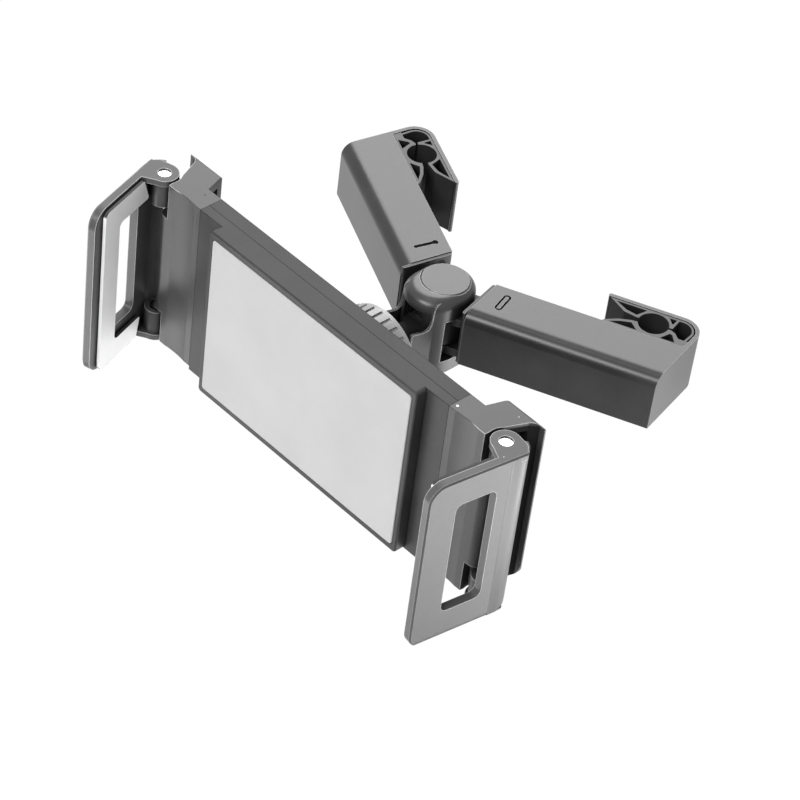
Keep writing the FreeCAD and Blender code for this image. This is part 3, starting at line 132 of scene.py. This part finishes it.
class Shader:
    """The nodes of a material or of the world."""

    def __init__(self, holder):
        holder.use_nodes = True
        self.holder = holder
        self.tree = holder.node_tree
        self.tree.nodes.clear()

    def node(self, kind, settings=None, inputs=None):
        """Makes a node, sets its settings, then its sockets, and gives its outputs as values."""
        made = self.tree.nodes.new(kind)
        for name, value in (settings or {}).items():
            setattr(made, name, value)
        for key, value in (inputs or {}).items():
            if isinstance(value, Value):
                self.tree.links.new(value.socket, made.inputs[key])
            else:
                made.inputs[key].default_value = value
        return Outputs(self, made)

    def math(self, operation, *values):
        """Any step of the Math node."""
        return self.node("ShaderNodeMath", {"operation": operation}, dict(enumerate(values)))[0]

    def vector_math(self, operation, first, second):
        """The outputs of a step of the Vector Math node."""
        return self.node("ShaderNodeVectorMath", {"operation": operation}, {0: first, 1: second})

    def component(self, vector, axis):
        """The X, Y or Z of a vector."""
        return self.node("ShaderNodeSeparateXYZ", None, {0: vector})[axis]

    def place(self):
        """Object coordinates: metres in the row frame."""
        return self.node("ShaderNodeTexCoord")["Object"]

    def from_pad(self, axis):
        """One coordinate in millimetres from the pad's middle: row coordinate - shift."""
        shift = float(ROW_SHIFT["XYZ".index(axis)]) / MM_IN_METRE
        return (self.component(self.place(), axis) - shift) * MM_IN_METRE

    def tilt(self):
        """Height of the piece's own normal: 1 on a face that looks up, -1 on one that looks down."""
        return self.component(self.node("ShaderNodeTexCoord")["Normal"], "Z")

    def upward(self):
        """1 on faces that look up, 0 on the others."""
        return self.tilt().ramp(0.85, 0.98)

    def noise(self, pattern, stretch=None):
        """Noise from 0 to 1. The pattern is a scale and a detail, and stretch gives a scale for each axis."""
        scale, detail = pattern
        where = self.place()
        if stretch:
            where = self.node("ShaderNodeMapping", None, {"Vector": where, "Scale": stretch})[0]
        sockets = {"Vector": where, "Scale": scale, "Detail": detail}
        return self.node("ShaderNodeTexNoise", None, sockets)["Fac"]

    def edges(self, radius):
        """1 near the piece's edges within a radius in metres, 0 on its faces.

        It is a ramp over 1 minus the dot product of the rounded and the flat normal.
        """
        rounded = self.node("ShaderNodeBevel", {"samples": 6}, {"Radius": radius})[0]
        flat = self.node("ShaderNodeNewGeometry")["Normal"]
        facing = self.vector_math("DOT_PRODUCT", rounded, flat)["Value"]
        return (1.0 - facing).ramp(0.01, 0.22)

    def hollows(self, distance):
        """1 in the open, falling towards 0 inside gaps and recesses."""
        return self.node("ShaderNodeAmbientOcclusion", {"samples": 6}, {"Distance": distance})["AO"]

    def seen(self):
        """1 where the camera looks, straight or by way of metal or glass, 0 for the light on the mount."""
        path = self.node("ShaderNodeLightPath")
        shown = path["Is Camera Ray"].math("MAXIMUM", path["Is Glossy Ray"])
        return shown.math("MAXIMUM", path["Is Transmission Ray"])

    def mix(self, share, first, second):
        """A colour between two colours."""
        sockets = {0: share, 6: first, 7: second}
        return self.node("ShaderNodeMix", {"data_type": "RGBA"}, sockets)[2]

    def bump(self, height, strength, distance):
        """A normal from a height."""
        sockets = {"Height": height, "Strength": strength, "Distance": distance}
        return self.node("ShaderNodeBump", None, sockets)[0]

    def surface(self, **sockets):
        """Closes the material with a Principled shader. Underscores in a name stand for spaces."""
        named = {name.replace("_", " "): value for name, value in sockets.items()}
        shader = self.node("ShaderNodeBsdfPrincipled", None, named)[0]
        self.node("ShaderNodeOutputMaterial", None, {"Surface": shader})
        return self.holder


def tone(level, warm=0.0):
    """A grey given as it shows on a screen, from 0 to 255, as a linear colour. Warm tints it a little."""
    share = level / 255.0
    linear = share / 12.92 if share <= 0.04045 else ((share + 0.055) / 1.055) ** 2.4
    return (linear * (1.0 + warm), linear, linear * (1.0 - warm), 1.0)


def moulded_plastic(name, level, rough, highlight_level, highlight_radius=0.0006, specular=0.5, seam=None,
                    matt_top=0.0, spots=(), shade_reach=0.006, recess=None):
    """Spark-eroded charcoal plastic: fine grain, slow clouds of tone, and edges painted pale as highlights.

    Gaps and hollows within the shade's reach in metres are painted darker as shade. Where a seam distance is
    given, the edges nearer than that to the cradle's middle are dark joints, and only the edges farther out
    get the painted highlight. Upward
    faces can be more matt. Spots are small round discs of a given tone painted on upward faces:
    x, y, radius and tone. A recessed region is painted black as shade: it is a range of distance from the
    middle plane, a range of depth, and the two heights between which it fades. Seam, spots and the recessed
    region are in millimetres.
    """
    shader = Shader(bpy.data.materials.new(name))
    cloud = shader.noise(PLASTIC_CLOUDS)
    grain = shader.noise(PLASTIC_GRAIN)
    # Painted highlight: edges within the radius are painted pale towards the highlight grey, broken up by
    # noise.
    edge_highlight = shader.edges(highlight_radius) * (0.55 + 0.6 * shader.noise(HIGHLIGHT_BREAKS))
    # Painted shade: ambient occlusion finds the gaps and hollows within the shade's reach.
    unshaded = shader.hollows(shade_reach).ramp(0.15, 0.75)
    body = shader.mix(cloud.ramp(0.3, 0.7), tone(level - 5), tone(level + 6))
    body = shader.mix(grain.ramp(0.35, 0.75) * 0.35, body, tone(level + 22))
    gloss = rough + 0.1 * (cloud - 0.5) + 0.3 * (1.0 - unshaded)
    if seam:
        outer = shader.from_pad("X").math("ABSOLUTE").ramp(seam, seam + SEAM_FADE)
        joint = shader.edges(JOINT_RADIUS) * (1.0 - outer)
        edge_highlight = edge_highlight * outer
        body = shader.mix(joint, body, tone(JOINT_TONE))
        gloss = gloss + DARK_ROUGHNESS * joint
    body = shader.mix(edge_highlight * 0.8, body, tone(highlight_level))
    # Painted shade: gaps and hollows are mixed towards the dark shade grey.
    body = shader.mix(1.0 - unshaded, body, tone(PAINTED_SHADE_TONE))
    gloss = gloss - 0.12 * edge_highlight
    if matt_top:
        gloss = gloss + matt_top * shader.upward()
    # Painted shade: the recessed region is painted black and made rougher.
    if recess:
        (near, far), (front, rear), (fade, top) = recess
        recess_shade = shader.from_pad("X").math("ABSOLUTE").within(near, far, 0.8, 0.4)
        recess_shade = recess_shade * shader.from_pad("Y").within(front, rear, 1.5, 0.15)
        recess_shade = recess_shade * (1.0 - shader.from_pad("Z").ramp(fade, top))
        body = shader.mix(recess_shade, body, tone(RECESS_SHADE_TONE))
        gloss = gloss + DARK_ROUGHNESS * recess_shade
    # Small round spots of a given grey painted on upward faces.
    for x, y, radius, spot_level in spots:
        flat = shader.vector_math("MULTIPLY", shader.place(), (1.0, 1.0, 0.0))[0]
        middle = tuple(row_place([x, y, 0.0])[:2].tolist()) + (0.0,)
        away = shader.vector_math("DISTANCE", flat, middle)["Value"]
        mark = shader.upward() * (1.0 - away.ramp(radius * 0.7e-3, radius * 1.2e-3))
        body = shader.mix(mark, body, tone(spot_level))
    raised = shader.bump(grain, 0.25, 0.00006)
    return shader.surface(Base_Color=body, Roughness=gloss, Normal=raised, Specular_IOR_Level=specular)


def soft_rubber(name, level, top_level=None, rim_level=None):
    """Matt rubber with a very fine grain.

    A lit top level paints the upward faces lighter as painted light, with painted shade in the hollows, and a
    shaded rim level paints the upward and downward rims dark as painted shade.
    """
    shader = Shader(bpy.data.materials.new(name))
    cloud = shader.noise(RUBBER_CLOUDS)
    grain = shader.noise(RUBBER_GRAIN)
    body = shader.mix(cloud.ramp(0.25, 0.75), tone(level - 4), tone(level + 3))
    body = shader.mix(grain.ramp(0.4, 0.8) * 0.2, body, tone(max(level - 26, 10)))
    # Painted light: upward faces are painted lighter, broken up by noise.
    if top_level:
        lit_top = shader.upward() * (0.7 + 0.5 * shader.noise(TOP_LIGHT_BREAKS)).math("MINIMUM", 1.0)
        body = shader.mix(lit_top, body, tone(top_level))
        # Painted shade: hollows between the ribs are mixed towards the dark shade grey.
        body = shader.mix(1.0 - shader.hollows(0.01).ramp(0.1, 0.7), body, tone(PAINTED_SHADE_TONE))
    # Painted shade: the upward and downward rims of the pad are painted dark.
    if rim_level:
        rim = shader.tilt().math("ABSOLUTE").ramp(0.15, 0.5)
        body = shader.mix(rim, body, tone(rim_level))
    gloss = 0.72 + 0.15 * (cloud - 0.5)
    raised = shader.bump(grain, 0.3, 0.00008)
    return shader.surface(Base_Color=body, Roughness=gloss, Normal=raised, Specular_IOR_Level=0.35)


def turned_steel(name, level, rough, bright_above=None):
    """Bright steel with the fine rings of a lathe round the vertical axis of each pin.

    With a height in metres of the row frame, only the ends above it keep the bright steel, and the rest is
    painted dark as shade.
    """
    shader = Shader(bpy.data.materials.new(name))
    streak = shader.noise(LATHE_STREAKS, stretch=(1.0, 1.0, 6.0))
    stain = shader.noise(STEEL_STAINS)
    body = shader.mix(stain.ramp(0.35, 0.75), tone(level), tone(level - 22))
    # Painted shade: below the height the steel is painted dark.
    if bright_above:
        height = shader.component(shader.place(), "Z")
        body = shader.mix(height.ramp(bright_above - 0.001, bright_above), tone(SHADED_STEEL_TONE), body)
    gloss = rough + 0.16 * (streak - 0.5)
    raised = shader.bump(streak, 0.15, 0.00004)
    return shader.surface(Base_Color=body, Roughness=gloss, Normal=raised, Metallic=1.0)


def smooth_acetal(name, level):
    """Slippery white plastic of the bearing pieces, faintly mottled."""
    shader = Shader(bpy.data.materials.new(name))
    cloud = shader.noise(ACETAL_CLOUDS)
    body = shader.mix(cloud.ramp(0.3, 0.7), tone(level - 8, 0.01), tone(level, 0.01))
    gloss = 0.38 + 0.1 * (cloud - 0.5)
    raised = shader.bump(shader.noise(ACETAL_GRAIN), 0.12, 0.00005)
    return shader.surface(Base_Color=body, Roughness=gloss, Normal=raised)


# The third number of each plastic is the grey of its painted edge highlight.
ARM_PLASTIC = moulded_plastic("arm_plastic", 36, 0.32, 130, specular=0.38)
HUB_PLASTIC = moulded_plastic("hub_plastic", 46, 0.32, 215, specular=0.4, shade_reach=0.009,
                              recess=((-1.0, 9.4), (48.0, 67.4), (15.5, 19.0)))
WEB_PLASTIC = moulded_plastic("web_plastic", 44, 0.5, 235, specular=0.22, shade_reach=0.004)
CRADLE_PLASTIC = moulded_plastic("cradle_plastic", 50, 0.42, 150, 0.0005, specular=0.2, seam=200.0,
                                 matt_top=0.15)
SLIDER_PLASTIC = moulded_plastic("slider_plastic", 56, 0.36, 225, specular=0.3, shade_reach=0.013,
                                 recess=((100.6, 109.2), (15.0, 28.4), (44.0, 45.0)), seam=90.0,
                                 matt_top=0.08, spots=[(80.2, 8.9, 0.6, 250), (-84.9, 14.3, 0.7, 14),
                                                       (100.2, 24.5, 0.25, 200)])
CLAW_PLASTIC = moulded_plastic("claw_plastic", 68, 0.34, 235, specular=0.4, matt_top=0.25,
                               spots=[(113.5, 2.8, 0.25, 200)])
KNUCKLE_PLASTIC = moulded_plastic("knuckle_plastic", 34, 0.42, 120, specular=0.3, shade_reach=0.01)
NUT_PLASTIC = moulded_plastic("nut_plastic", 145, 0.4, 200)
PAD_RUBBER = soft_rubber("pad_rubber", 178)
CLAW_PAD_RUBBER = soft_rubber("claw_pad_rubber", 232, rim_level=50)
GRIP_RUBBER = soft_rubber("grip_rubber", 24, top_level=96)
PIN_STEEL = turned_steel("pin_steel", 245, 0.26, bright_above=0.03)
SCREW_STEEL = turned_steel("screw_steel", 190, 0.3)
SPRING_STEEL = turned_steel("spring_steel", 150, 0.34)
ACETAL = smooth_acetal("acetal_white", 222)

FINISHES = {
    "left_arm": ARM_PLASTIC, "right_arm": ARM_PLASTIC,
    "left_knuckle": KNUCKLE_PLASTIC, "right_knuckle": KNUCKLE_PLASTIC,
    "left_post_grip": GRIP_RUBBER, "right_post_grip": GRIP_RUBBER,
    "yoke_housing": HUB_PLASTIC, "hub_cap": HUB_PLASTIC, "ball_stud": KNUCKLE_PLASTIC,
    "ring_nut": NUT_PLASTIC, "front_shell": CRADLE_PLASTIC, "back_shell": CRADLE_PLASTIC,
    "left_slider": SLIDER_PLASTIC, "right_slider": SLIDER_PLASTIC,
    "left_claw": CLAW_PLASTIC, "right_claw": CLAW_PLASTIC,
    "front_pad": PAD_RUBBER, "left_claw_pad": CLAW_PAD_RUBBER, "right_claw_pad": CLAW_PAD_RUBBER,
    "left_claw_pins": PIN_STEEL, "right_claw_pins": PIN_STEEL,
    "return_spring": SPRING_STEEL, "spring_washer": SPRING_STEEL,
    "pinion": ACETAL, "friction_washers": ACETAL, "rear_seat": ACETAL, "front_seat": ACETAL,
}
for node_name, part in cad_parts.items():
    for slot in part.material_slots:
        slot.material = FINISHES.get(node_name, SCREW_STEEL)


# Added shapes, each worked out as a grid of points
def in_scene(name, data):
    """A new object in the scene."""
    made = bpy.data.objects.new(name, data)
    bpy.context.scene.collection.objects.link(made)
    return made


def new_piece(name, points, faces, body, finish, smooth):
    """A piece from points in metres of the row frame. It moves with the body."""
    mesh = bpy.data.meshes.new(name)
    mesh.from_pydata(points.tolist(), [], faces)
    mesh.polygons.foreach_set("use_smooth", [smooth] * len(mesh.polygons))
    mesh.update()
    mesh.materials.append(finish)
    made = in_scene(name, mesh)
    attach(made, body)


def wall_faces(rings, columns):
    """Four-sided faces between neighbouring closed rings of points, and one face over each end ring."""
    i, j = np.meshgrid(np.arange(rings - 1), np.arange(columns), indexing="ij")
    right = (j + 1) % columns
    corners = [i * columns + j, (i + 1) * columns + j, (i + 1) * columns + right, i * columns + right]
    faces = np.stack([corner.ravel() for corner in corners], axis=1).tolist()
    faces.append(list(range(columns))[::-1])
    faces.append(list(range((rings - 1) * columns, rings * columns)))
    return faces


# Outline of a yoke web as depth and height, and its rings as width from the inner face and inset
WEB_OUTLINE = np.array([
    (70.5, 21.4), (68.4, 20.9), (67.4, 20.0), (66.9, 18.4), (66.6, 16.4), (66.4, 14.4), (66.1, 12.4),
    (65.8, 10.8), (65.2, 9.6), (64.2, 8.9), (63.0, 8.8), (61.0, 9.1), (58.8, 9.7), (56.6, 10.3), (55.6, 10.6),
    (54.8, 10.7), (54.2, 10.3), (54.0, 9.6), (54.0, -8.0), (54.4, -9.4), (55.3, -10.6), (60.0, -15.0),
    (64.0, -17.9), (72.0, -17.9)])
WEB_RINGS = ((0.0, 0.35), (0.3, 0.0), (1.1, 0.0), (1.4, 0.35))
WEB_INNER_FACE = 8.7


def yoke_web(side):
    """Side wall of the yoke's front, which runs down from the dome and forward beside the neck.

    Its outline lies in the plane of depth y and height z. A ring of the wall is that outline, drawn in
    towards its middle by the ring's inset, at x = inner face + the ring's width.
    """
    along = np.roll(WEB_OUTLINE, -1, axis=0) - np.roll(WEB_OUTLINE, 1, axis=0)
    along /= np.linalg.norm(along, axis=1)[:, None]
    inward = np.stack([-along[:, 1], along[:, 0]], axis=1)
    rings = []
    for width, inset in WEB_RINGS:
        flat = WEB_OUTLINE + inward * inset
        rings.append(np.column_stack([np.full(len(flat), side * (WEB_INNER_FACE + width)), flat]))
    points = row_place(np.concatenate(rings))
    faces = wall_faces(len(WEB_RINGS), len(WEB_OUTLINE))
    new_piece(SIDE_WORDS[side] + "_yoke_web", points, faces, "yoke", WEB_PLASTIC, smooth=False)


# A claw's barrel in millimetres: distances are from the pin's axis, heights from the pad's middle
BARREL_INSIDE = 6.5
BARREL_OUTSIDE = 10.66
BARREL_THINNING = 1.3
BARREL_LOW = -43.9
BARREL_HIGH = 45.9
BARREL_RISE = 6.5
BARREL_CORNER = 0.9
BARREL_CORNER_STEPS = 5
BARREL_RUN = 4.0
BARREL_RUN_RINGS = 5
BARREL_SWEEP = math.radians(62.0)
BARREL_SWEEP_RINGS = 26


def claw_barrel(side, angle):
    """Hinge side of a claw, which leaves the plate straight and curls round its pin.

    Each ring is a rectangle from the inside to the outside distance and from the low to the high end, with
    its corners as arcs: centre + corner radius * (cos a, sin a). The rings first run straight up to the
    pin's middle, then turn round the pin. t is the share of that turn: the outside distance is less by the
    thinning * t^2, and the low end is higher by the rise * t^2.
    """
    run = np.linspace(-BARREL_RUN, 0.0, BARREL_RUN_RINGS, endpoint=False)
    offset = np.concatenate([run, np.zeros(BARREL_SWEEP_RINGS)])[:, None]
    share = np.concatenate([np.zeros(BARREL_RUN_RINGS), np.linspace(0.0, 1.0, BARREL_SWEEP_RINGS)])[:, None]
    outside = BARREL_OUTSIDE - BARREL_THINNING * share ** 2
    low = BARREL_LOW + BARREL_RISE * share ** 2
    quarter = np.repeat(np.arange(4), BARREL_CORNER_STEPS + 1)
    step = np.tile(np.arange(BARREL_CORNER_STEPS + 1), 4)
    arc = math.pi / 2 * (quarter + step / BARREL_CORNER_STEPS)
    inner = (quarter == 1) | (quarter == 2)
    lower = quarter >= 2
    distance = np.where(inner, BARREL_INSIDE + BARREL_CORNER, outside - BARREL_CORNER)
    distance = distance + BARREL_CORNER * np.cos(arc)
    height = np.where(lower, low + BARREL_CORNER, BARREL_HIGH - BARREL_CORNER) + BARREL_CORNER * np.sin(arc)
    x = side * distance * np.cos(BARREL_SWEEP * share)
    y = offset + distance * np.sin(BARREL_SWEEP * share)
    turn = -side * math.radians(angle)
    points = np.stack([side * CLAW_PIN_X + x * math.cos(turn) - y * math.sin(turn),
                       CLAW_PIN_Y + x * math.sin(turn) + y * math.cos(turn), height], axis=-1)
    faces = wall_faces(*points.shape[:2])
    if side > 0:
        faces = [face[::-1] for face in faces]
    word = SIDE_WORDS[side]
    new_piece(word + "_claw_barrel", row_place(points.reshape(-1, 3)), faces, word + "_claw", CLAW_PLASTIC,
              smooth=True)


for side in SIDE_WORDS:
    yoke_web(side)
for side, angle in CLAW_ANGLES.items():
    claw_barrel(side, angle)


# Camera at the photograph's place: turned round the mount, raised above it and rolled a little
CAMERA_AROUND = 0.7298185810
CAMERA_ABOVE = 0.7272356905
CAMERA_ROLL = 0.1360076291
CAMERA_PLACE = (679.395, -696.097, 867.992)
FOCAL_PIXELS = 3046.48
FRAME_PIXELS = 800.0
SENSOR_WIDTH = 36.0

# What the lamps look at, and the room: sizes in millimetres and metres, and strengths
LAMP_TARGET = (0.0, 45.0, 0.0)
FLOOR_HEIGHT = -420.0
FLOOR_REACH = 6.0
FLOOR_COLOUR = (0.8, 0.8, 0.8, 1.0)
FLOOR_GLOW_SHARE = 0.97
WHITE = (1.0, 1.0, 1.0, 1.0)
ROOM_LIGHT = 0.5


def stand(name, data, right, top, back, place):
    """Puts a camera or a lamp in the scene, given its own three axes and its place in the row frame."""
    matrix = np.eye(4)
    matrix[:3] = np.column_stack([right, top, back, place])
    thing = in_scene(name, data)
    thing.matrix_world = mathutils.Matrix(matrix.tolist())
    return thing


def photo_camera():
    """Right, up and back are worked out from the three angles, and the lens from the 800 pixel frame."""
    back = np.array([math.sin(CAMERA_AROUND) * math.cos(CAMERA_ABOVE),
                     -math.cos(CAMERA_AROUND) * math.cos(CAMERA_ABOVE), math.sin(CAMERA_ABOVE)])
    level = np.cross(-back, [0.0, 0.0, 1.0])
    level /= np.linalg.norm(level)
    upward = np.cross(level, -back)
    right = level * math.cos(CAMERA_ROLL) + upward * math.sin(CAMERA_ROLL)
    top = upward * math.cos(CAMERA_ROLL) - level * math.sin(CAMERA_ROLL)
    lens = bpy.data.cameras.new("photo_camera")
    lens.lens = FOCAL_PIXELS / FRAME_PIXELS * SENSOR_WIDTH
    lens.sensor_width = SENSOR_WIDTH
    lens.clip_start = 0.05
    lens.clip_end = 20.0
    camera = stand("photo_camera", lens, right, top, back, row_place(CAMERA_PLACE))
    bpy.context.scene.camera = camera


def softbox(name, direction, distance, width, height, watts):
    """A rectangular lamp that looks at the mount's middle from a direction. Its sizes are in metres."""
    back = np.asarray(direction, float)
    back /= np.linalg.norm(back)
    right = np.cross([0.0, 0.0, 1.0], back)
    right /= np.linalg.norm(right)
    lamp = bpy.data.lights.new(name, "AREA")
    lamp.shape = "RECTANGLE"
    lamp.size = width
    lamp.size_y = height
    lamp.energy = watts
    stand(name, lamp, right, np.cross(back, right), back, row_place(LAMP_TARGET) + back * distance)


def white_room():
    """Pale floor under the mount and a world that lights it evenly. Both look white to the camera."""
    sky = Shader(bpy.data.worlds.new("white_room"))
    bpy.context.scene.world = sky.holder
    even = sky.node("ShaderNodeBackground", None, {"Color": WHITE, "Strength": ROOM_LIGHT})[0]
    white = sky.node("ShaderNodeBackground", None, {"Color": WHITE, "Strength": 1.0})[0]
    both = sky.node("ShaderNodeMixShader", None, {0: sky.seen(), 1: even, 2: white})[0]
    sky.node("ShaderNodeOutputWorld", None, {"Surface": both})
    pale = Shader(bpy.data.materials.new("floor_white"))
    matt = pale.node("ShaderNodeBsdfDiffuse", None, {"Color": FLOOR_COLOUR})[0]
    glow = pale.node("ShaderNodeEmission", None, {"Color": WHITE, "Strength": 1.0})[0]
    share = pale.seen() * FLOOR_GLOW_SHARE
    both = pale.node("ShaderNodeMixShader", None, {0: share, 1: matt, 2: glow})[0]
    pale.node("ShaderNodeOutputMaterial", None, {"Surface": both})
    low = row_place([0.0, 0.0, FLOOR_HEIGHT])[2]
    corners = [(-FLOOR_REACH, -FLOOR_REACH, low), (FLOOR_REACH, -FLOOR_REACH, low),
               (FLOOR_REACH, FLOOR_REACH, low), (-FLOOR_REACH, FLOOR_REACH, low)]
    sheet = bpy.data.meshes.new("floor")
    sheet.from_pydata(corners, [], [(0, 1, 2, 3)])
    sheet.materials.append(pale.holder)
    floor = in_scene("floor", sheet)


photo_camera()
softbox("back_light", (-0.5, 0.56, 0.66), distance=1.5, width=1.1, height=1.1, watts=23.0)
softbox("front_light", (0.08, -0.75, 0.66), distance=1.5, width=0.9, height=0.5, watts=20.0)
softbox("top_light", (-0.1, -0.1, 1.0), distance=1.5, width=0.5, height=0.5, watts=2.0)
softbox("left_low_light", (-0.41, -0.57, -0.66), distance=0.62, width=0.36, height=0.36, watts=1.7)
softbox("left_side_light", (-0.8, 0.14, -0.6), distance=0.6, width=0.3, height=0.3, watts=0.14)
softbox("right_low_light", (0.65, 0.38, -0.62), distance=0.62, width=0.6, height=0.45, watts=5.6)
white_room()
bpy.context.scene.view_settings.view_transform = "Standard"
